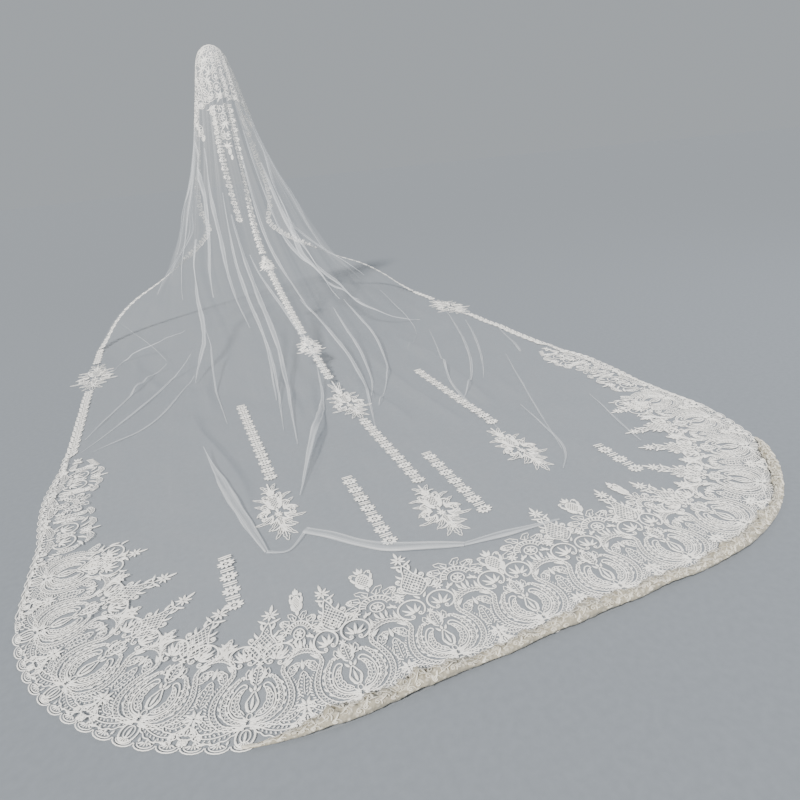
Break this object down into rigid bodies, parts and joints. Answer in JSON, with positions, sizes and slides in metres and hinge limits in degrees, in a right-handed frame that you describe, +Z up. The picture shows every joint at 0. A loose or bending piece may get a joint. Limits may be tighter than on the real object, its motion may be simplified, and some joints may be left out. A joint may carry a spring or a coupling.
{
  "type": "bridal veil",
  "caption": "One-tier cathedral veil of soft tulle with deep scalloped lace, hollow as worn, open at the front, with a long train",
  "frame": {"origin": "where the head holds the veil, on the inside of the cloth at the crown", "axes": "+Z up, the face looks along -Y, the train runs back along +Y, +X to the wearer's left"},
  "size_m": [2.335, 3.8895, 1.7021],
  "materials": {
    "tulle": "sheer",
    "lace": "matte",
    "rolled_edge": "matte"
  },
  "bodies": {
    "root": {"crown_lace": "lace", "hem_lace": "lace", "hem_roll": "rolled_edge", "motif_centre_1": "lace", "motif_centre_2": "lace", "motif_centre_3": "lace", "motif_centre_4": "lace", "motif_edge_left": "lace", "motif_edge_right": "lace", "motif_long_left": "lace", "motif_long_right": "lace", "strip_centre_1": "lace", "strip_centre_2": "lace", "strip_centre_3": "lace", "strip_centre_4": "lace", "strip_crown": "lace", "strip_inner_left": "lace", "strip_inner_right": "lace", "strip_long_left": "lace", "strip_long_right": "lace", "strip_outer_left": "lace", "strip_outer_right": "lace", "trim_edge_left_1": "lace", "trim_edge_left_2": "lace", "trim_edge_right_1": "lace", "trim_edge_right_2": "lace", "veil_tulle": "tulle"}
  },
  "joints": []
}
